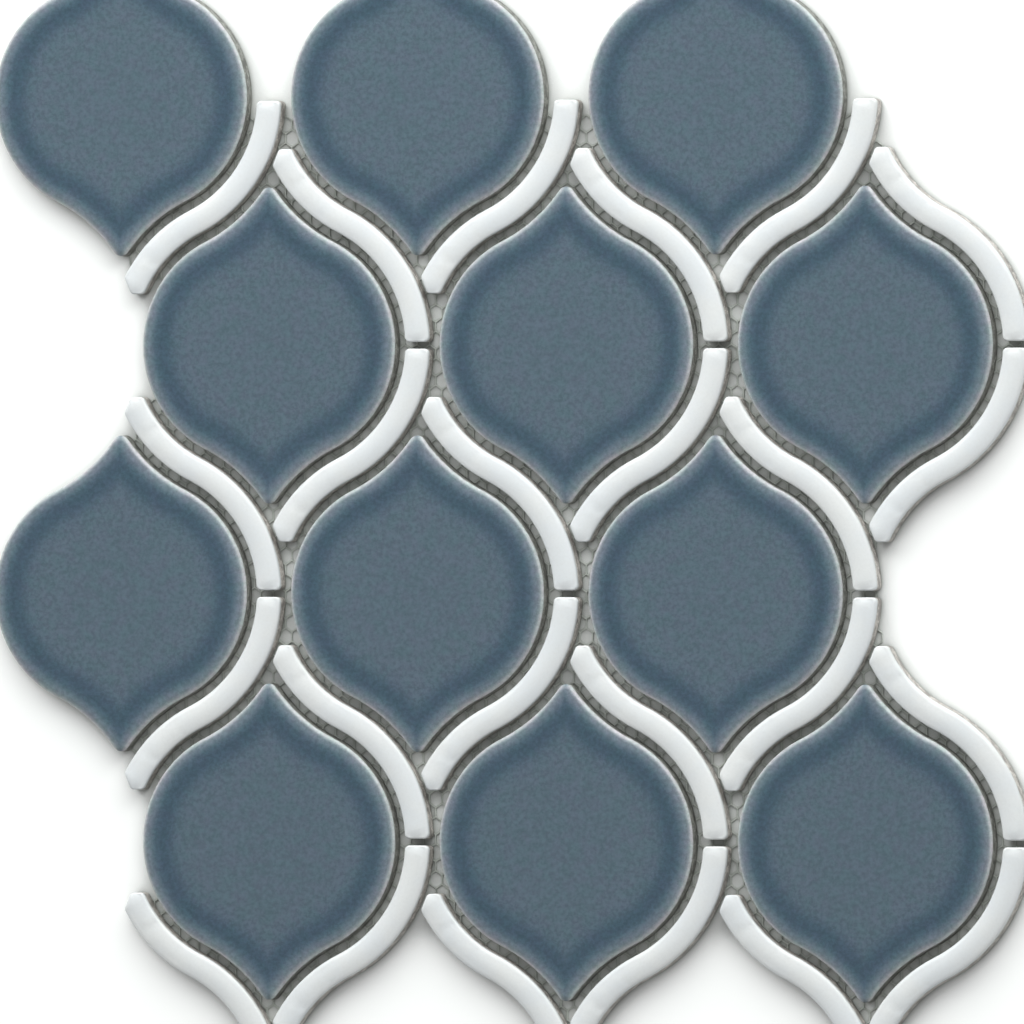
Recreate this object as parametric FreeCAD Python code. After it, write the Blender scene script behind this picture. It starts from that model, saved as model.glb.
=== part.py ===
import FreeCAD, Part
import math
import os

Vec = FreeCAD.Vector
Up = Vec(0, 0, 1)

# A mosaic sheet of lantern tiles with S-shaped border strips, glued face up on a net.
# It lies flat: the origin is under the middle of its outline, +Y points at the lanterns' tips.

# Layout of the sheet, in millimetres
lantern_rows = 4
lantern_columns = 3
column_pitch = 92.5
row_pitch = 74.6

# Lantern tiles
lantern_thickness = 7.0
lantern_crown = 1.2
lantern_tip_radius = 2.6

# Border strips
strip_width = 7.6
strip_thickness = 7.0
strip_crown = 0.9
strip_corner_radius = 1.5
nose_width = 4.0
nose_radius = 1.5

# Joints between the pieces
face_joint = 3.05
end_joint = 1.9

# Net that the pieces are glued on
net_thickness = 0.5
net_inset = 1.5

# How far two points may lie apart and still count as one
same_point = 1e-4

# The ogee curve of one quarter of a lantern's cell: a round shoulder and a hollow neck,
# two arcs of one radius that meet half-way between the cell's side and its tip
half_width = column_pitch / 2
ogee_radius = (half_width ** 2 + row_pitch ** 2) / (4 * half_width)
shoulder_centre = Vec(half_width - ogee_radius, 0, 0)
neck_centre = Vec(ogee_radius, row_pitch, 0)
passing_centre = Vec(-ogee_radius, row_pitch, 0)
ogee_middle = Vec(half_width / 2, row_pitch / 2, 0)
ogee_normal = (ogee_middle - shoulder_centre).normalize()

lantern_inset = strip_width / 2 + face_joint
mitre_radius = ogee_radius + strip_width / 2 + end_joint


def arc(centre, start, end):
    """The shorter arc about a centre from one point to another."""
    middle = (start - centre) + (end - centre)
    radius = (start - centre).Length
    return Part.Arc(start, centre + middle.normalize() * radius, end).toShape()


def line(start, end):
    return Part.makeLine(start, end)


def side_point(radius, height):
    """The right-hand point, at a height, of a circle about the shoulder's centre."""
    return shoulder_centre + Vec(math.sqrt(radius ** 2 - height ** 2), height, 0)


def lower_crossing(left, left_radius, right, right_radius):
    """Where two circles whose centres are level cross, below the centres."""
    span = right.x - left.x
    reach = (span ** 2 + left_radius ** 2 - right_radius ** 2) / (2 * span)
    return left + Vec(reach, -math.sqrt(left_radius ** 2 - reach ** 2), 0)


def flipped(point, across, along):
    return Vec(point.x * across, point.y * along, 0)


def upright_edges(solid, keep):
    """Edges that stand upright and whose foot passes the test."""
    found = []
    for edge in solid.Edges:
        first, last = edge.Vertexes[0].Point, edge.Vertexes[-1].Point
        if abs(first.x - last.x) + abs(first.y - last.y) < same_point and keep(first):
            found.append(edge)
    return found


def crowned(solid, thickness, crown):
    """The pressed piece with its top edge eased all round."""
    top = [edge for edge in solid.Edges if edge.BoundBox.ZMin > thickness - same_point]
    return solid.makeChamfer(crown, top)


def lantern_face():
    shoulder_radius = ogee_radius - lantern_inset
    neck_radius = ogee_radius + lantern_inset
    shoulder_end = ogee_middle - ogee_normal * lantern_inset
    tip = lower_crossing(passing_centre, neck_radius, neck_centre, neck_radius)
    side = side_point(shoulder_radius, 0)
    edges = []
    for across in (1, -1):
        upper = flipped(shoulder_end, across, 1)
        lower = flipped(shoulder_end, across, -1)
        edges.append(Part.Arc(lower, flipped(side, across, 1), upper).toShape())
        for along in (1, -1):
            hollow_centre = flipped(neck_centre, across, along)
            start = flipped(shoulder_end, across, along)
            edges.append(arc(hollow_centre, start, flipped(tip, across, along)))
    return Part.Face(Part.Wire(Part.__sortEdges__(edges)))


def lantern_tile():
    body = lantern_face().extrude(Up * lantern_thickness)
    tips = upright_edges(body, lambda foot: abs(foot.x) < same_point)
    body = body.makeFillet(lantern_tip_radius, tips)
    return crowned(body, lantern_thickness, lantern_crown)


def strip_nose():
    """The inner corner of the strip's nose, where the mitre is cut off blunt."""
    outer_centre = neck_centre - Vec(nose_width, 0, 0)
    return lower_crossing(passing_centre, mitre_radius, outer_centre, ogee_radius - strip_width / 2)


def strip_face():
    """The strip on a lantern's upper right, from its square end to its mitred nose."""
    outer = ogee_radius + strip_width / 2
    inner = ogee_radius - strip_width / 2
    outer_start = side_point(outer, end_joint / 2)
    inner_start = side_point(inner, end_joint / 2)
    outer_middle = ogee_middle + ogee_normal * strip_width / 2
    inner_middle = ogee_middle - ogee_normal * strip_width / 2
    inner_nose = strip_nose()
    outer_nose = inner_nose + Vec(nose_width, 0, 0)
    heel = lower_crossing(passing_centre, mitre_radius, neck_centre, outer)
    edges = [
        arc(shoulder_centre, outer_start, outer_middle),
        arc(neck_centre, outer_middle, outer_nose),
        line(outer_nose, inner_nose),
        arc(passing_centre, inner_nose, heel),
        arc(neck_centre, heel, inner_middle),
        arc(shoulder_centre, inner_middle, inner_start),
        line(inner_start, outer_start),
    ]
    return Part.Face(Part.Wire(edges))


def border_strip():
    body = strip_face().extrude(Up * strip_thickness)
    square_height = end_joint / 2
    nose_height = strip_nose().y
    square = upright_edges(body, lambda foot: abs(foot.y - square_height) < same_point)
    body = body.makeFillet(strip_corner_radius, square)
    nose = upright_edges(body, lambda foot: abs(foot.y - nose_height) < same_point)
    body = body.makeFillet(nose_radius, nose)
    return crowned(body, strip_thickness, strip_crown)


def lantern_place(row, column):
    """Centre of a lantern; rows count from the top and every second row is shifted right.

    The sheet's overall size is centred: lanterns end its left and top, strips its right and foot.
    """
    tip_circle = ogee_radius + lantern_inset + lantern_tip_radius
    tip_centre = lower_crossing(passing_centre, tip_circle, neck_centre, tip_circle)
    top_reach = tip_centre.y + lantern_tip_radius
    foot_reach = row_pitch - end_joint / 2
    left_reach = half_width - lantern_inset
    right_reach = half_width + strip_width / 2
    left = (left_reach - right_reach - (lantern_columns - 0.5) * column_pitch) / 2
    top = (foot_reach - top_reach + (lantern_rows - 1) * row_pitch) / 2
    shift = half_width if row % 2 == 0 else 0
    return Vec(left + (column - 1) * column_pitch + shift, top - (row - 1) * row_pitch, net_thickness)


def net_quarter(across, along, margin):
    """A quarter of a cell, from its centre out to the ogee curve moved outward by a margin."""
    shoulder = flipped(shoulder_centre, across, along)
    neck = flipped(neck_centre, across, along)
    side = flipped(shoulder_centre + Vec(ogee_radius + margin, 0, 0), across, along)
    turn = flipped(ogee_middle + ogee_normal * margin, across, along)
    neck_radius = ogee_radius - margin
    tip = Vec(margin, row_pitch, 0)
    if margin < 0:
        tip = lower_crossing(passing_centre, neck_radius, neck_centre, neck_radius)
    end = flipped(tip, across, along)
    axis_end = Vec(0, end.y, 0)
    edges = [line(Vec(), side), arc(shoulder, side, turn), arc(neck, turn, end)]
    if margin > 0:
        edges.append(line(end, axis_end))
    edges.append(line(axis_end, Vec()))
    return Part.Face(Part.Wire(edges)).extrude(Up * net_thickness)


def open_corner():
    """What is left free of net where a left-hand corner between the rows has no lantern beside it."""
    mitre = Part.makeCylinder(mitre_radius + net_inset, net_thickness, Vec(-ogee_radius, 0, 0))
    reach = row_pitch - strip_nose().y
    corner = Vec(-reach, -reach, 0)
    return mitre.fuse(Part.makeBox(2 * reach, 2 * reach, net_thickness, corner))


def net_backing():
    """One sheet of net under all the pieces, drawn in from their outer edges."""
    bed_margin = -lantern_inset - net_inset
    cell_margin = strip_width / 2 - net_inset
    beds = []
    cells = []
    corners = []
    for row in range(1, lantern_rows + 1):
        shifted = row % 2 == 0
        for column in range(1, lantern_columns + 1):
            place = lantern_place(row, column) - Up * net_thickness
            for across in (1, -1):
                for along in (1, -1):
                    beds.append(placed(net_quarter(across, along, bed_margin), place))
                    # the strip on a lantern's left belongs to the lantern diagonally beside it
                    owner = column if across > 0 or shifted else column - 1
                    if owner > 0 and (along < 0 or row > 1):
                        cells.append(placed(net_quarter(across, along, cell_margin), place))
            if shifted and column == 1:
                corners.append(placed(open_corner(), place - Vec(half_width, 0, 0)))
    # between the square ends of the first strips and those of the last
    end_margin = end_joint / 2 + net_inset
    top = lantern_place(1, 1).y - end_margin
    foot = lantern_place(lantern_rows + 1, 1).y + end_margin
    width = (lantern_columns + 1) * column_pitch
    between = Part.makeBox(width, top - foot, net_thickness, Vec(-width / 2, foot, 0))
    bordered = cells[0].fuse(cells[1:]).common(between).cut(corners)
    return bordered.fuse(beds).removeSplitter()


def placed(shape, place):
    copy = shape.copy()
    copy.translate(place)
    return copy


def build():
    parts = {}
    lantern = lantern_tile()
    upper = border_strip()
    lower = upper.mirror(Vec(0, 0, 0), Vec(0, 1, 0))
    for row in range(1, lantern_rows + 2):
        for column in range(1, lantern_columns + 1):
            place = lantern_place(row, column)
            spot = f"r{row}_c{column}"
            if row <= lantern_rows:
                parts[f"lantern_tile_{spot}"] = placed(lantern, place)
                parts[f"lower_border_strip_{spot}"] = placed(lower, place)
            if row > 1:
                parts[f"upper_border_strip_{spot}"] = placed(upper, place)
    parts["mesh_backing"] = net_backing()
    return parts


os.makedirs("parts", exist_ok=True)
for name, shape in build().items():
    shape.exportStep(f"parts/{name}.step")
    print(name, "valid", shape.isValid(), "volume", round(shape.Volume, 1))
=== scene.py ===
import bmesh
import bpy
import math
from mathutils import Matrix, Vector
from mathutils.bvhtree import BVHTree


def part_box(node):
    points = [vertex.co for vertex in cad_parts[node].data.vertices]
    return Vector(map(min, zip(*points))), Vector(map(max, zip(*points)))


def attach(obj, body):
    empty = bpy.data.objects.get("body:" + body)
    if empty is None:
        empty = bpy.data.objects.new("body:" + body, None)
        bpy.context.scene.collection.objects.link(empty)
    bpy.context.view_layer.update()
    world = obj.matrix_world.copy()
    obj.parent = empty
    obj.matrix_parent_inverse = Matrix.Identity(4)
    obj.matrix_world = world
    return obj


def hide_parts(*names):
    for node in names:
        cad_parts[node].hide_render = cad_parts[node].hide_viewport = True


# Mosaic sheet of blue lantern tiles and white S-shaped border strips on a net.
# Lengths are in millimetres times mm, because Blender works in metres here.

mm = 0.001
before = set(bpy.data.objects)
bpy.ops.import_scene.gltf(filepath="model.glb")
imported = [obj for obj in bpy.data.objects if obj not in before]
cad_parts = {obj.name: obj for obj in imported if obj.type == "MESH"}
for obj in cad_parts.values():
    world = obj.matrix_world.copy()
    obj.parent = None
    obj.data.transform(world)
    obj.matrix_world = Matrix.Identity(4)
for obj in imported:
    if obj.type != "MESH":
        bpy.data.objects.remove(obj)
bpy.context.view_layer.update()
print("frame loaded:", len(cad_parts), "nodes")

layout = {
    "columnPitch": 92.5 * mm,
    "rowPitch": 74.6 * mm,
    "stripWidth": 7.6 * mm,
    "faceJoint": 3.05 * mm,      # between a lantern and a strip
    "endJoint": 1.9 * mm,        # between the ends of two strips
    "thickness": 7.0 * mm,
    "netThickness": 0.5 * mm,
    "planScale": 10.0,           # one unit of the plan map is 100 mm
}

near = {                         # how close two spots lie and still count as one
    "spot": 0.001 * mm,
    "mesh": 0.002 * mm,
    "level": 0.01 * mm,
    "outline": 0.02 * mm,
    "corner": 0.05 * mm,
}

# The ogee curve that every piece follows: two arcs of one radius
halfWidth = layout["columnPitch"] / 2
rise = layout["rowPitch"]
ogeeRadius = (halfWidth ** 2 + rise ** 2) / (4 * halfWidth)
shoulderCentre = Vector((halfWidth - ogeeRadius, 0, 0))
neckCentre = Vector((ogeeRadius, rise, 0))
passingCentre = Vector((-ogeeRadius, rise, 0))
ogeeAngle = math.atan2(rise, 2 * ogeeRadius - halfWidth)
lanternInset = layout["stripWidth"] / 2 + layout["faceJoint"]


def polar(centre, radius, angle):
    return centre + Vector((math.cos(angle), math.sin(angle), 0)) * radius


def angleOf(centre, point):
    return math.atan2(point.y - centre.y, point.x - centre.x)


def lowerCrossing(left, leftRadius, right, rightRadius):
    # where two circles whose centres are level cross, below the centres
    span = right.x - left.x
    reach = (span ** 2 + leftRadius ** 2 - rightRadius ** 2) / (2 * span)
    return left + Vector((reach, -math.sqrt(leftRadius ** 2 - reach ** 2), 0))


# Modelling helpers

def deselectAll():
    if bpy.context.object and bpy.context.object.mode != "OBJECT":
        bpy.ops.object.mode_set(mode="OBJECT")
    bpy.ops.object.select_all(action="DESELECT")


def startOutline(name, spot):
    # a plane shrunk to the one vertex where the outline starts
    deselectAll()
    bpy.ops.mesh.primitive_plane_add(size=2 * mm, location=spot)
    bpy.ops.object.transform_apply(location=True, rotation=False, scale=False)
    piece = bpy.context.object
    piece.name = piece.data.name = name
    bpy.ops.object.mode_set(mode="EDIT")
    bpy.ops.mesh.select_mode(type="VERT")
    bpy.ops.mesh.select_all(action="SELECT")
    bpy.ops.mesh.merge(type="CENTER")
    return piece


def spinTo(centre, turn, steps):
    # carries the outline's last vertex round a centre; a positive turn is anticlockwise
    bpy.ops.mesh.spin(steps=steps, angle=-turn, center=centre, axis=(0, 0, 1))


def closeOutline(piece):
    # joins the outline's ends and fills it with one face that looks up
    bpy.ops.mesh.select_all(action="SELECT")
    bpy.ops.mesh.remove_doubles(threshold=near["outline"])
    bpy.ops.mesh.select_all(action="SELECT")
    bpy.ops.mesh.edge_face_add()
    bpy.ops.mesh.select_mode(type="FACE")
    if next(iter(bmesh.from_edit_mesh(piece.data).faces)).normal.z < 0:
        bpy.ops.mesh.flip_normals()


def raiseFace(height):
    bpy.ops.mesh.extrude_region_move(TRANSFORM_OT_translate={"value": (0, 0, height)})


def select(piece, kind, test):
    # selects the faces, edges or vertices that pass a test
    mesh = bmesh.from_edit_mesh(piece.data)
    bpy.ops.mesh.select_all(action="DESELECT")
    bpy.ops.mesh.select_mode(type={"faces": "FACE", "edges": "EDGE", "verts": "VERT"}[kind])
    for part in getattr(mesh, kind):
        if test(part):
            part.select_set(True)
    mesh.select_flush_mode()
    bmesh.update_edit_mesh(piece.data)


def finishMesh(piece):
    bpy.ops.mesh.select_all(action="SELECT")
    bpy.ops.mesh.remove_doubles(threshold=near["mesh"])
    bpy.ops.mesh.normals_make_consistent(inside=False)
    bpy.ops.object.mode_set(mode="OBJECT")
    bpy.ops.object.shade_smooth_by_angle(angle=math.radians(40))


def mapPlan(piece):
    # the map holds the place in plan, measured from the lantern's middle
    layer = piece.data.uv_layers.active or piece.data.uv_layers.new(name="plan")
    layer.name = "plan"
    for loop in piece.data.loops:
        spot = piece.data.vertices[loop.vertex_index].co
        layer.data[loop.index].uv = (spot.x * layout["planScale"], spot.y * layout["planScale"])


# Foot and sides, the same on lanterns and strips

foot = {
    "height": 1.3 * mm,
    "lip": 0.06 * mm,            # how far the sides stand in above the foot
    "lipSlope": 1.5,             # the lip's height against that
    "bevel": 0.3 * mm,
}


def raiseSides(domed):
    # up to where the dome starts
    lipRise = foot["lipSlope"] * foot["lip"]
    raiseFace(foot["height"])
    bpy.ops.mesh.inset(thickness=foot["lip"], depth=lipRise)
    raiseFace(layout["thickness"] - foot["height"] - lipRise - domed)


def finishPiece(piece):
    # eases the foot's lower edge
    select(piece, "edges", lambda edge: sum(vert.co.z for vert in edge.verts) < near["level"])
    bpy.ops.mesh.bevel(offset=foot["bevel"], segments=2, affect="EDGES")
    finishMesh(piece)
    mapPlan(piece)
    return piece


# Lantern tile

lantern = {
    "tipRadius": 2.6 * mm,
    "shoulderSteps": 44,
    "neckSteps": 11,
    "tipSteps": 9,
    # rise of the pressed edge, ring by ring: distance in from the side, height gained
    "pillow": [(0.05, 0.14), (0.13, 0.16), (0.26, 0.18), (0.48, 0.19), (0.80, 0.17),
               (1.25, 0.15), (1.9, 0.13), (2.7, 0.09), (3.6, 0.04), (5.0, 0.01)],
}


def makeLantern():
    shoulder = ogeeRadius - lanternInset
    neck = ogeeRadius + lanternInset
    tipCircle = neck + lantern["tipRadius"]
    tipCentre = lowerCrossing(passingCentre, tipCircle, neckCentre, tipCircle)
    tangent = angleOf(tipCentre, neckCentre)          # where the neck's arc meets the tip's
    neckTurn = ogeeAngle - tangent
    steps = lantern["neckSteps"]
    piece = startOutline("lanternTile", polar(shoulderCentre, shoulder, -ogeeAngle))
    for side in (1, -1):
        spinTo(shoulderCentre * side, 2 * ogeeAngle, lantern["shoulderSteps"])
        spinTo(neckCentre * side, -neckTurn, steps)
        spinTo(tipCentre * side, math.pi - 2 * tangent, lantern["tipSteps"])
        spinTo(passingCentre * side, -neckTurn, steps)
    closeOutline(piece)
    raiseSides(sum(gain for _, gain in lantern["pillow"]) * mm)
    wide = shoulderCentre.x + shoulder - foot["lip"]
    size = 1.0
    for reach, gain in lantern["pillow"]:
        raiseFace(gain * mm)
        wanted = 1 - reach * mm / wide
        scale = wanted / size
        size = wanted
        bpy.ops.transform.resize(value=(scale, scale, 1), center_override=(0, 0, 0))
    return finishPiece(piece)


# Border strip

strip = {
    "shoulderSteps": 26,
    "outerNeckSteps": 12,
    "innerNeckSteps": 10,
    "mitreSteps": 3,
    "cornerRadius": 1.5 * mm,    # at the square end
    "noseWidth": 4.0 * mm,
    "noseRadius": 1.5 * mm,
    "heelRadius": 1.5 * mm,
    "cornerSteps": 5,
    "heelSteps": 3,
    "pillow": [(0.03, 0.13), (0.07, 0.14), (0.13, 0.14), (0.20, 0.14)],   # inset, height gained
    "crown": 0.55 * mm,          # further rise to the middle line
    "crownReach": 3.25 * mm,
    "crownEnd": 0.8,             # the middle line's distance from the ends, in reaches
    "crossCuts": 7,
    "middleBand": 0.2 * mm,
    "shortestEnd": 1 * mm,       # edges longer than this span an end
}


def makeStrip():
    # the strip on a lantern's upper right
    outer = ogeeRadius + layout["stripWidth"] / 2
    inner = ogeeRadius - layout["stripWidth"] / 2
    mitre = outer + layout["endJoint"]
    low = layout["endJoint"] / 2
    outerStart = math.asin(low / outer)
    innerStart = math.asin(low / inner)
    noseCircle = neckCentre - Vector((strip["noseWidth"], 0, 0))
    innerNose = lowerCrossing(passingCentre, mitre, noseCircle, inner)
    outerNose = innerNose + Vector((strip["noseWidth"], 0, 0))
    heel = lowerCrossing(passingCentre, mitre, neckCentre, outer)
    turned = angleOf(neckCentre, polar(shoulderCentre, ogeeRadius, ogeeAngle))
    mitreTurn = angleOf(passingCentre, heel) - angleOf(passingCentre, innerNose)

    def neckTurn(point):
        return (angleOf(neckCentre, point) - turned) % (2 * math.pi) - 2 * math.pi

    piece = startOutline("borderStrip", polar(shoulderCentre, outer, outerStart))
    spinTo(shoulderCentre, ogeeAngle - outerStart, strip["shoulderSteps"])
    spinTo(neckCentre, neckTurn(outerNose), strip["outerNeckSteps"])
    bpy.ops.mesh.extrude_vertices_move(TRANSFORM_OT_translate={"value": innerNose - outerNose})
    spinTo(passingCentre, mitreTurn, strip["mitreSteps"])
    spinTo(neckCentre, -neckTurn(heel), strip["innerNeckSteps"])
    spinTo(shoulderCentre, innerStart - ogeeAngle, strip["shoulderSteps"])
    closeOutline(piece)
    atSquareEnd = lambda spot: spot.y < low + near["level"]
    atNose = lambda spot: spot.y > innerNose.y - near["level"]
    atHeel = lambda spot: (spot - heel).length < near["corner"]
    roundCorners(piece, atSquareEnd, strip["cornerRadius"], strip["cornerSteps"])
    roundCorners(piece, atNose, strip["noseRadius"], strip["cornerSteps"])
    roundCorners(piece, atHeel, strip["heelRadius"], strip["heelSteps"])
    select(piece, "faces", lambda face: True)
    raiseSides(sum(gain for _, gain in strip["pillow"]) * mm + strip["crown"])
    for inset, gain in strip["pillow"]:
        bpy.ops.mesh.inset(thickness=inset * mm, depth=gain * mm)
    crownStrip(piece)
    return finishPiece(piece)


def roundCorners(piece, test, radius, segments):
    mesh = bmesh.from_edit_mesh(piece.data)
    spots = [corner.co.copy() for corner in mesh.verts if test(corner.co)]
    for spot in spots:
        select(piece, "verts", lambda corner: (corner.co - spot).length < near["spot"])
        corner = next(vert for vert in bmesh.from_edit_mesh(piece.data).verts if vert.select)
        first, last = [(edge.other_vert(corner).co - corner.co) for edge in corner.link_edges]
        reach = radius / math.tan(first.angle(last) / 2)
        bpy.ops.mesh.bevel(offset=reach, segments=segments, affect="VERTICES")


def offMiddle(spot):
    # how far a point lies from the strip's middle line
    onNeck = (neckCentre - shoulderCentre).cross(spot - shoulderCentre).z > 0
    centre = neckCentre if onNeck else shoulderCentre
    return abs((Vector((spot.x, spot.y, 0)) - centre).length - ogeeRadius)


def crownStrip(piece):
    # the flat inside the pillow's rings becomes rows that are lifted towards the middle line
    mesh = bmesh.from_edit_mesh(piece.data)
    top = max(vert.co.z for vert in mesh.verts) - near["spot"]
    flat = lambda part: all(vert.co.z > top for vert in part.verts)
    heights = [vert.co.y for vert in mesh.verts if vert.co.z > top]
    ends = [min(heights), max(heights)]
    atEnd = lambda edge: edge.calc_length() > strip["shortestEnd"] and all(
        min(abs(vert.co.y - end) for end in ends) < near["outline"] for vert in edge.verts)
    across = lambda edge: all(flat(face) for face in edge.link_faces)
    select(piece, "faces", flat)
    bpy.ops.mesh.delete(type="ONLY_FACE")
    select(piece, "edges", lambda edge: flat(edge) and not atEnd(edge))
    bpy.ops.mesh.bridge_edge_loops()
    select(piece, "edges", lambda edge: flat(edge) and (atEnd(edge) or across(edge)))
    bpy.ops.mesh.subdivide(number_cuts=strip["crossCuts"])
    reach = strip["crownReach"]
    first = ends[0] + strip["crownEnd"] * reach
    last = ends[1] - strip["crownEnd"] * reach
    select(piece, "verts", lambda vert: vert.co.z > top and first < vert.co.y < last
           and offMiddle(vert.co) < strip["middleBand"])
    bpy.ops.transform.translate(value=(0, 0, strip["crown"]), use_proportional_edit=True,
                                proportional_edit_falloff="INVERSE_SQUARE",
                                proportional_size=reach)


def placeCopy(master, name, centre):
    # a copy with its own mesh, moved to its lantern's middle
    copy = master.copy()
    copy.data = master.data.copy()
    copy.name = copy.data.name = name
    bpy.context.scene.collection.objects.link(copy)
    deselectAll()
    copy.select_set(True)
    bpy.context.view_layer.objects.active = copy
    bpy.ops.transform.translate(value=centre)
    bpy.ops.object.transform_apply(location=True, rotation=False, scale=False)
    return copy


def mirroredStrip(master):
    # the strip on a lantern's lower right
    copy = placeCopy(master, "lowerStrip", (0, 0, 0))
    bpy.ops.object.mode_set(mode="EDIT")
    bpy.ops.mesh.select_all(action="SELECT")
    bpy.ops.transform.resize(value=(1, -1, 1), center_override=(0, 0, 0))
    finishMesh(copy)
    mapPlan(copy)
    return copy


def standFor(piece, node):
    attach(piece, "root")
    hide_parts(node)


# Net

net = {
    "cellWidth": 3.9 * mm,
    "stretch": 1.2,              # a cell's height, against a regular hexagon
    "threadWidth": 0.35 * mm,
    "cellCorners": 12,           # six outside the thread and six inside it
    "probeHeight": 100 * mm,     # from where the trim looks down for the backing
}


def makeNet():
    low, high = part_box("mesh_backing")
    radius = net["cellWidth"] / math.sqrt(3)
    rowStep = 1.5 * radius * net["stretch"]
    across = math.ceil((high.x - low.x) / net["cellWidth"]) + 1
    pairs = math.ceil((high.y - low.y) / (2 * rowStep)) + 1
    deselectAll()
    bpy.ops.mesh.primitive_circle_add(vertices=6, radius=radius, fill_type="NGON",
                                      location=(low.x, low.y, 0))
    bpy.ops.object.transform_apply(location=True, rotation=False, scale=False)
    piece = bpy.context.object
    piece.name = piece.data.name = "net"
    bpy.ops.object.mode_set(mode="EDIT")
    bpy.ops.mesh.select_all(action="SELECT")
    bpy.ops.transform.resize(value=(1, net["stretch"], 1), center_override=(low.x, low.y, 0))
    select(piece, "faces", lambda face: True)
    bpy.ops.mesh.inset(thickness=net["threadWidth"] / 2)
    bpy.ops.mesh.delete(type="FACE")
    bpy.ops.mesh.select_all(action="SELECT")
    nextRow = (net["cellWidth"] / 2, rowStep, 0)
    bpy.ops.mesh.duplicate_move(TRANSFORM_OT_translate={"value": nextRow})
    bpy.ops.object.mode_set(mode="OBJECT")
    for axis, step, count in ((0, net["cellWidth"], across), (1, 2 * rowStep, pairs)):
        rows = piece.modifiers.new("rows", "ARRAY")
        rows.use_relative_offset = False
        rows.use_constant_offset = True
        rows.constant_offset_displace = [step if place == axis else 0 for place in range(3)]
        rows.count = count
        bpy.ops.object.modifier_apply(modifier=rows.name)
    trimNet(piece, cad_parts["mesh_backing"])
    select(piece, "faces", lambda face: True)
    raiseFace(layout["netThickness"])
    finishMesh(piece)
    return piece


def trimNet(piece, backing):
    # only cells that lie wholly on the backing's outline stay
    ground = BVHTree.FromPolygons([vert.co for vert in backing.data.vertices],
                                  [face.vertices for face in backing.data.polygons])
    bpy.ops.object.mode_set(mode="EDIT")
    corners = net["cellCorners"]
    down = Vector((0, 0, -1))
    inside = {}
    for vert in bmesh.from_edit_mesh(piece.data).verts:
        cell = vert.index // corners
        hit = ground.ray_cast(Vector((vert.co.x, vert.co.y, net["probeHeight"])), down)[0]
        inside[cell] = inside.get(cell, True) and hit is not None
    select(piece, "verts", lambda vert: not inside[vert.index // corners])
    bpy.ops.mesh.delete(type="VERT")
    bpy.ops.mesh.select_all(action="SELECT")
    bpy.ops.mesh.remove_doubles(threshold=near["outline"])


# Materials

def shade(red, green, blue):
    # a colour as a screen shows it, 0 to 255
    linear = []
    for part in (red, green, blue):
        dark = part < 11
        linear.append(part / 255 / 12.92 if dark else ((part / 255 + 0.055) / 1.055) ** 2.4)
    return (*linear, 1)


def darker(colour, share):
    return shade(*[part * share for part in colour])


def newMaterial(name):
    material = bpy.data.materials.new(name)
    material.use_nodes = True
    nodes = material.node_tree.nodes
    shader = next(node for node in nodes if node.type == "BSDF_PRINCIPLED")
    return material, material.node_tree, shader


def add(tree, kind, inputs, **settings):
    node = tree.nodes.new("ShaderNode" + kind)
    for name, value in settings.items():
        setattr(node, name, value)
    for name, value in inputs.items():
        put(tree, node.inputs[name], value)
    return node


def put(tree, socket, value):
    # a value is set on a socket, and another node's output is linked to it
    if isinstance(value, bpy.types.NodeSocket):
        tree.links.new(value, socket)
    else:
        socket.default_value = value


def calc(tree, operation, *values):
    return add(tree, "Math", dict(enumerate(values)), operation=operation).outputs[0]


def vectorCalc(tree, operation, *values, result=0):
    return add(tree, "VectorMath", dict(enumerate(values)), operation=operation).outputs[result]


def noise(tree, place, size, detail=2, roughness=0.5):
    # size is the width of a patch
    return add(tree, "TexNoise", {"Vector": place, "Scale": 1 / size, "Detail": detail,
                                  "Roughness": roughness}).outputs[0]


def spread(tree, value, low, high, newLow=0.0, newHigh=1.0):
    return add(tree, "MapRange", {"Value": value, "From Min": low, "From Max": high,
                                  "To Min": newLow, "To Max": newHigh},
               interpolation_type="SMOOTHSTEP").outputs[0]


def mixColour(tree, factor, first, second):
    # sockets 0, 6 and 7 of a mix node are its factor and its two colours
    return add(tree, "Mix", {0: factor, 6: first, 7: second}, data_type="RGBA").outputs[2]


def addBump(tree, shader, height, depth):
    bump = add(tree, "Bump", {"Strength": 1.0, "Distance": depth, "Height": height})
    tree.links.new(bump.outputs[0], shader.inputs["Normal"])


def ramp(tree, factor, stops):
    node = add(tree, "ValToRGB", {0: factor})
    band = node.color_ramp
    while len(band.elements) < len(stops):
        band.elements.new(1.0)
    for element, (place, colour) in zip(band.elements, stops):
        element.position = place
        element.color = colour
    return node.outputs[0]


# Bare ceramic on the sides and underneath

bare = {
    "brimSize": 5 * mm,          # the glaze's lower brim wanders up and down
    "brimWander": 0.9 * mm,
    "brimStart": 0.3 * mm,
    "brimEnd": 0.7 * mm,
    "grainSize": 0.5 * mm,
    "smudgeSize": 1.2 * mm,
    "smudgeStretch": (0.5, 0.5, 0.7),
    "smudgeShare": 0.85,
    "stainSize": 7 * mm,
    "stainShare": 0.5,
    "footShare": 0.5,            # painted shade at the foot, with some grime
    "footTop": 2.0 * mm,
    "dark": 0.75,                # shares of the body's colour
    "grimeAndShade": 0.6,
    "roughness": 0.75,
}


def sideMask(tree, place, overflow):
    # 1 where the glaze ends, on the sides and underneath
    height = add(tree, "SeparateXYZ", {0: place}).outputs[2]
    edge = layout["netThickness"] + layout["thickness"] - overflow
    wander = calc(tree, "MULTIPLY", noise(tree, place, bare["brimSize"]), bare["brimWander"])
    return spread(tree, calc(tree, "ADD", height, wander), edge + bare["brimStart"],
                  edge + bare["brimEnd"], 1.0, 0.0)


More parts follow.
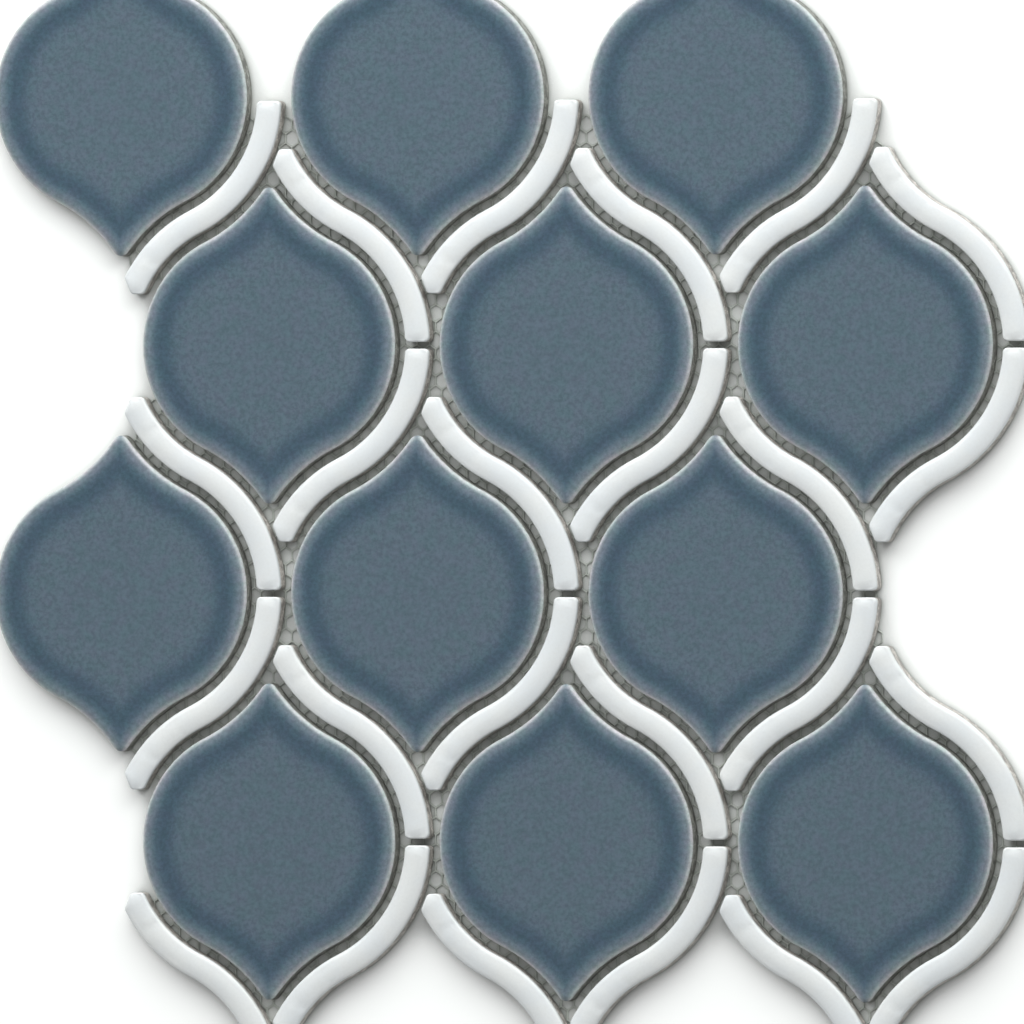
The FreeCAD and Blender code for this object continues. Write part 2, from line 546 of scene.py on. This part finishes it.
def bodyColour(tree, place, body):
    grain = noise(tree, place, bare["grainSize"], detail=3)
    stretched = vectorCalc(tree, "MULTIPLY", place, bare["smudgeStretch"])
    smudges = spread(tree, noise(tree, stretched, bare["smudgeSize"], detail=3),
                     0.42, 0.6, 0.0, bare["smudgeShare"])
    stains = spread(tree, noise(tree, place, bare["stainSize"]),
                    0.35, 0.75, 0.0, bare["stainShare"])
    height = add(tree, "SeparateXYZ", {0: place}).outputs[2]
    # painted shade with some grime: the sides darken towards the foot, where they meet the net
    footShadeAndGrime = spread(tree, height, layout["netThickness"], bare["footTop"],
                       bare["footShare"], 0.0)
    dark = darker(body, bare["dark"])
    grimeAndShade = darker(body, bare["grimeAndShade"])
    colour = mixColour(tree, spread(tree, grain, 0.3, 0.7), shade(*body), dark)
    colour = mixColour(tree, smudges, colour, grimeAndShade)
    colour = mixColour(tree, stains, colour, dark)
    return mixColour(tree, footShadeAndGrime, colour, grimeAndShade), grain


# Glazes

relief = {
    "rippleSize": 4 * mm,
    "fineSize": 0.9 * mm,
    "fineShare": 0.12,           # of the ripple's height
    "grainShare": 6.0,
    "depth": 0.004 * mm,
}

blue = {
    "rampReach": 16.0,           # mm in from the lantern's edge
    # the glaze is thin and pale on the edge, pools dark inside it and evens out to the middle
    "ramp": [(0.0, (203, 207, 208)), (0.45, (184, 190, 193)), (0.75, (156, 164, 169)),
             (1.05, (133, 143, 150)), (1.5, (113, 126, 135)), (2.3, (104, 119, 131)),
             (3.3, (86, 105, 118)), (4.4, (70, 92, 107)), (6.0, (60, 82, 98)),
             (8.0, (63, 85, 101)), (11.0, (79, 98, 112)), (14.5, (83, 101, 114))],
    "wanderSize": 12 * mm,
    "wander": 1.6,               # mm that the pool's edges sway in all
    "steady": (1.0, 4.0),        # mm in: no sway before the first, full sway after the second
    "tintSize": 4.5 * mm,
    "greener": (0.925, 1.015, 0.97, 1),
    "pinker": (1.065, 0.975, 1.02, 1),
    "speckleSize": 1.3 * mm,
    "speckle": (0.85, 1.15),
    "pits": {"spacing": 9 * mm, "size": 0.35 * mm, "strength": 0.6, "colour": (70, 78, 82)},
    "body": (172, 174, 168),
    "overflow": 1.5 * mm,        # how far the glaze runs down the sides
    "gloss": 0.13,
    "shine": 0.28,
}

white = {
    "plain": (227, 230, 230),
    "cooler": (222, 227, 230),
    "duller": (215, 218, 218),
    "coolerSize": 14 * mm,
    "dullerSize": 0.8 * mm,
    "dullerShare": 0.25,
    "pits": {"spacing": 11 * mm, "size": 0.3 * mm, "strength": 0.5, "colour": (150, 148, 143)},
    "body": (230, 225, 219),
    "overflow": 2.1 * mm,
    "gloss": 0.2,
}


def planInMillimetres(tree):
    plan = add(tree, "UVMap", {}, uv_map="plan").outputs[0]
    plan = vectorCalc(tree, "ABSOLUTE", plan)
    return vectorCalc(tree, "MULTIPLY", plan, (1000 / layout["planScale"],) * 3)


def ogeeDistance(tree, plan):
    # distance outward from the ogee curve: beyond the shoulder's circle, or short of the neck's
    shoulder, neck, radius = shoulderCentre / mm, neckCentre / mm, ogeeRadius / mm
    line = neck - shoulder
    fromLine = vectorCalc(tree, "SUBTRACT", plan, shoulder)
    outside = vectorCalc(tree, "DOT_PRODUCT", fromLine, (-line.y, line.x, 0), result=1)
    onNeck = calc(tree, "GREATER_THAN", outside, 0.0)
    shoulderReach = vectorCalc(tree, "DISTANCE", plan, shoulder, result=1)
    neckReach = vectorCalc(tree, "DISTANCE", plan, neck, result=1)
    fromShoulder = calc(tree, "SUBTRACT", shoulderReach, radius)
    fromNeck = calc(tree, "SUBTRACT", radius, neckReach)
    change = calc(tree, "SUBTRACT", fromNeck, fromShoulder)
    return calc(tree, "MULTIPLY_ADD", onNeck, change, fromShoulder)


def pitted(tree, colour, place, pits):
    # a few tiny pits where the glaze has bubbled, in one of five cells
    cells = add(tree, "TexVoronoi", {"Vector": place, "Scale": 1 / pits["spacing"]})
    draw = add(tree, "SeparateColor", {0: cells.outputs["Color"]}).outputs[0]
    chosen = calc(tree, "GREATER_THAN", draw, 0.8)
    rim = pits["size"] / pits["spacing"]
    pit = spread(tree, cells.outputs["Distance"], 0.3 * rim, rim, pits["strength"], 0.0)
    return mixColour(tree, calc(tree, "MULTIPLY", chosen, pit), colour, shade(*pits["colour"]))


def surface(tree, shader, colour, place, kind):
    # glazed above, bare ceramic below: colour, roughness and bump
    colour = pitted(tree, colour, place, kind["pits"])
    mask = sideMask(tree, place, kind["overflow"])
    body, grain = bodyColour(tree, place, kind["body"])
    tree.links.new(mixColour(tree, mask, colour, body), shader.inputs["Base Color"])
    roughness = spread(tree, mask, 0.0, 1.0, kind["gloss"], bare["roughness"])
    tree.links.new(roughness, shader.inputs["Roughness"])
    ripple = noise(tree, place, relief["rippleSize"], detail=1)
    fine = noise(tree, place, relief["fineSize"], detail=1)
    height = calc(tree, "MULTIPLY_ADD", fine, relief["fineShare"], ripple)
    rough = calc(tree, "MULTIPLY", grain, mask)
    height = calc(tree, "MULTIPLY_ADD", rough, relief["grainShare"], height)
    addBump(tree, shader, height, relief["depth"])


def blueGlaze():
    material, tree, shader = newMaterial("blue glaze")
    place = add(tree, "TexCoord", {}).outputs["Object"]
    inward = calc(tree, "MULTIPLY", ogeeDistance(tree, planInMillimetres(tree)), -1.0)
    inward = calc(tree, "SUBTRACT", inward, lanternInset / mm)
    sway = calc(tree, "MULTIPLY_ADD", noise(tree, place, blue["wanderSize"]),
                blue["wander"], -blue["wander"] / 2)
    inward = calc(tree, "MULTIPLY_ADD", sway, spread(tree, inward, *blue["steady"]), inward)
    stops = [(reach / blue["rampReach"], shade(*colour)) for reach, colour in blue["ramp"]]
    colour = ramp(tree, calc(tree, "DIVIDE", inward, blue["rampReach"]), stops)
    patches = noise(tree, place, blue["tintSize"], detail=4, roughness=0.7)
    tint = mixColour(tree, spread(tree, patches, 0.3, 0.7), blue["greener"], blue["pinker"])
    colour = vectorCalc(tree, "MULTIPLY", colour, tint)
    grains = noise(tree, place, blue["speckleSize"], detail=4, roughness=0.8)
    speckle = spread(tree, grains, 0.35, 0.65, *blue["speckle"])
    colour = add(tree, "VectorMath", {0: colour, "Scale": speckle}, operation="SCALE").outputs[0]
    shader.inputs["Specular IOR Level"].default_value = blue["shine"]
    surface(tree, shader, colour, place, blue)
    return material


def whiteGlaze():
    material, tree, shader = newMaterial("white glaze")
    place = add(tree, "TexCoord", {}).outputs["Object"]
    broad = spread(tree, noise(tree, place, white["coolerSize"], detail=3), 0.3, 0.7)
    colour = mixColour(tree, broad, shade(*white["plain"]), shade(*white["cooler"]))
    fine = spread(tree, noise(tree, place, white["dullerSize"]), 0.35, 0.75,
                  0.0, white["dullerShare"])
    colour = mixColour(tree, fine, colour, shade(*white["duller"]))
    surface(tree, shader, colour, place, white)
    return material


thread = {
    "plain": (199, 205, 199),
    "dusty": (212, 217, 212),
    "dustSize": 6 * mm,
    "twistShade": (186, 191, 186),   # painted shade of the furrows between the twists
    "twistSize": 6 * mm,
    "twistShare": 0.25,
    "twistDepth": 0.04 * mm,
    "roughness": 0.7,
}


def netThread():
    material, tree, shader = newMaterial("net thread")
    place = add(tree, "TexCoord", {}).outputs["Object"]
    twist = add(tree, "TexWave", {"Vector": place, "Scale": 1 / thread["twistSize"],
                                  "Distortion": 4.0}, bands_direction="DIAGONAL").outputs[1]
    dust = spread(tree, noise(tree, place, thread["dustSize"]), 0.3, 0.7)
    colour = mixColour(tree, dust, shade(*thread["plain"]), shade(*thread["dusty"]))
    # painted shade: the thread darkens along the twists' bands, as in furrows
    twistShading = calc(tree, "MULTIPLY", twist, thread["twistShare"])
    colour = mixColour(tree, twistShading, colour, shade(*thread["twistShade"]))
    tree.links.new(colour, shader.inputs["Base Color"])
    shader.inputs["Roughness"].default_value = thread["roughness"]
    addBump(tree, shader, twist, thread["twistDepth"])
    return material


def dress(piece, material):
    piece.data.materials.clear()
    piece.data.materials.append(material)


# Building the sheet

print("making the lantern")
lanternMaster = makeLantern()
dress(lanternMaster, blueGlaze())
print("making the strips")
upperMaster = makeStrip()
dress(upperMaster, whiteGlaze())
lowerMaster = mirroredStrip(upperMaster)

masters = {
    "lantern_tile": ("lantern", lanternMaster, "blue_glazed_tile"),
    "upper_border_strip": ("upper-strip", upperMaster, "white_glazed_strip"),
    "lower_border_strip": ("lower-strip", lowerMaster, "white_glazed_strip"),
}

print("laying the sheet")
for node in sorted(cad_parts):
    if node == "mesh_backing":
        continue
    kind, spot = node.rsplit("_r", 1)
    label, master, slot = masters[kind]
    low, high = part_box(node)
    own = [Vector(corner) for corner in master.bound_box]
    # the two meet at the right, a lower strip's at its top and the others' at their foot
    nodeCorner = Vector((high.x, low.y, low.z))
    ownCorner = Vector((max(c.x for c in own), min(c.y for c in own), 0))
    if kind == "lower_border_strip":
        nodeCorner.y = high.y
        ownCorner.y = max(c.y for c in own)
    piece = placeCopy(master, label + "-r" + spot, nodeCorner - ownCorner)
    standFor(piece, node)
for master in (lanternMaster, upperMaster, lowerMaster):
    bpy.data.objects.remove(master)

print("making the net")
netPiece = makeNet()
dress(netPiece, netThread())
standFor(netPiece, "mesh_backing")
print("net faces", len(netPiece.data.polygons))

# Floor, light and camera

studio = {
    "floor": (226, 229, 228),
    "floorSize": 12.0,
    "floorRoughness": 0.9,
    "contactShade": (166, 172, 165),  # painted shade: the floor darkens close to what stands on it
    "contactReach": 3 * mm,
    "openReach": 25 * mm,
    "openGlow": 0.36,            # of the open floor, and of the floor between the pieces
    "gapGlow": 0.02,
    "occlusionSamples": 8,
    "ambient": 0.22,
    "horizon": 0.7,              # the surroundings are brighter low down
    "keyEnergy": 52.0,
    "keyColour": (0.99, 1.0, 0.985),
    "keySize": (3.2, 1.4),
    "keyDistance": 1.6,
    "keyTilt": 52,               # degrees from overhead, towards the sheet's top
    "viewTilt": 15,              # degrees from overhead, towards the sheet's right
    "viewDistance": 8.0,
    "viewWidth": 307.2 * mm,     # what the picture takes in across
    "pixels": 1024,
    "lanternSpot": (565.0, 345.1),   # pixels right and down to the middle of lantern r2_c2
    "sensorWidth": 36,
}


def brightRays(tree):
    # 1 for what the camera sees straight, in a reflection or through glass
    rays = add(tree, "LightPath", {}).outputs
    straight = calc(tree, "MAXIMUM", rays["Is Camera Ray"], rays["Is Transmission Ray"])
    return calc(tree, "MAXIMUM", straight, rays["Is Glossy Ray"])


def openSky(tree, reach):
    # 1 in the open and less close to other things
    return add(tree, "AmbientOcclusion", {"Distance": reach},
               samples=studio["occlusionSamples"]).outputs["AO"]


def paleFloor():
    material, tree, shader = newMaterial("pale floor")
    # painted shade: the floor's colour darkens where little is open around it, close to the
    # pieces and the net
    contactShade = spread(tree, openSky(tree, studio["contactReach"]), 0.25, 0.75)
    colour = mixColour(tree, contactShade, shade(*studio["contactShade"]), shade(*studio["floor"]))
    tree.links.new(colour, shader.inputs["Base Color"])
    shader.inputs["Roughness"].default_value = studio["floorRoughness"]
    shader.inputs["Specular IOR Level"].default_value = 0.0
    # the open floor shows white to the camera, and stays shaded close to the pieces
    glow = spread(tree, openSky(tree, studio["openReach"]), 0.5, 0.8,
                  studio["gapGlow"], studio["openGlow"])
    glow = calc(tree, "MULTIPLY", glow, brightRays(tree))
    tree.links.new(glow, shader.inputs["Emission Strength"])
    shader.inputs["Emission Color"].default_value = (1, 1, 1, 1)
    return material


deselectAll()
bpy.ops.mesh.primitive_grid_add(x_subdivisions=2, y_subdivisions=2, size=studio["floorSize"],
                                location=(0, 0, 0))
floor = bpy.context.object
floor.name = "floor"
dress(floor, paleFloor())

world = bpy.data.worlds.new("studio")
bpy.context.scene.world = world
world.use_nodes = True
sky = world.node_tree
background = next(node for node in sky.nodes if node.type == "BACKGROUND")
direction = add(sky, "TexCoord", {}).outputs["Generated"]
upward = add(sky, "SeparateXYZ", {0: direction}).outputs[2]
soft = spread(sky, upward, 0.1, 0.5, studio["horizon"], studio["ambient"])
sky.links.new(calc(sky, "MAXIMUM", soft, brightRays(sky)), background.inputs["Strength"])
background.inputs["Color"].default_value = (1, 1, 1, 1)

keyTilt = math.radians(studio["keyTilt"])
away = Vector((0, math.sin(keyTilt), math.cos(keyTilt))) * studio["keyDistance"]
bpy.ops.object.light_add(type="AREA", location=away)
key = bpy.context.object
key.name = "key light"
key.data.shape = "RECTANGLE"
key.data.size, key.data.size_y = studio["keySize"]
key.data.energy = studio["keyEnergy"]
key.data.color = studio["keyColour"]
key.rotation_euler = (-keyTilt, 0, 0)

# the picture's middle lies left of and below the second row's middle lantern
viewTilt = math.radians(studio["viewTilt"])
low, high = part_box("lantern_tile_r2_c2")
pixel = studio["viewWidth"] / studio["pixels"]
middle = studio["pixels"] / 2
right, down = studio["lanternSpot"]
aim = (low + high) / 2
aim += Vector(((middle - right) * pixel / math.cos(viewTilt), (down - middle) * pixel, 0))
aim.z = high.z
away = Vector((math.sin(viewTilt), 0, math.cos(viewTilt))) * studio["viewDistance"]
bpy.ops.object.camera_add(location=aim + away, rotation=(0, viewTilt, 0))
camera = bpy.context.object
camera.data.sensor_width = studio["sensorWidth"]
camera.data.lens = studio["sensorWidth"] * studio["viewDistance"] / studio["viewWidth"]
camera.data.clip_end = 50
bpy.context.scene.camera = camera
bpy.context.scene.view_settings.view_transform = "Standard"

print("scene done")
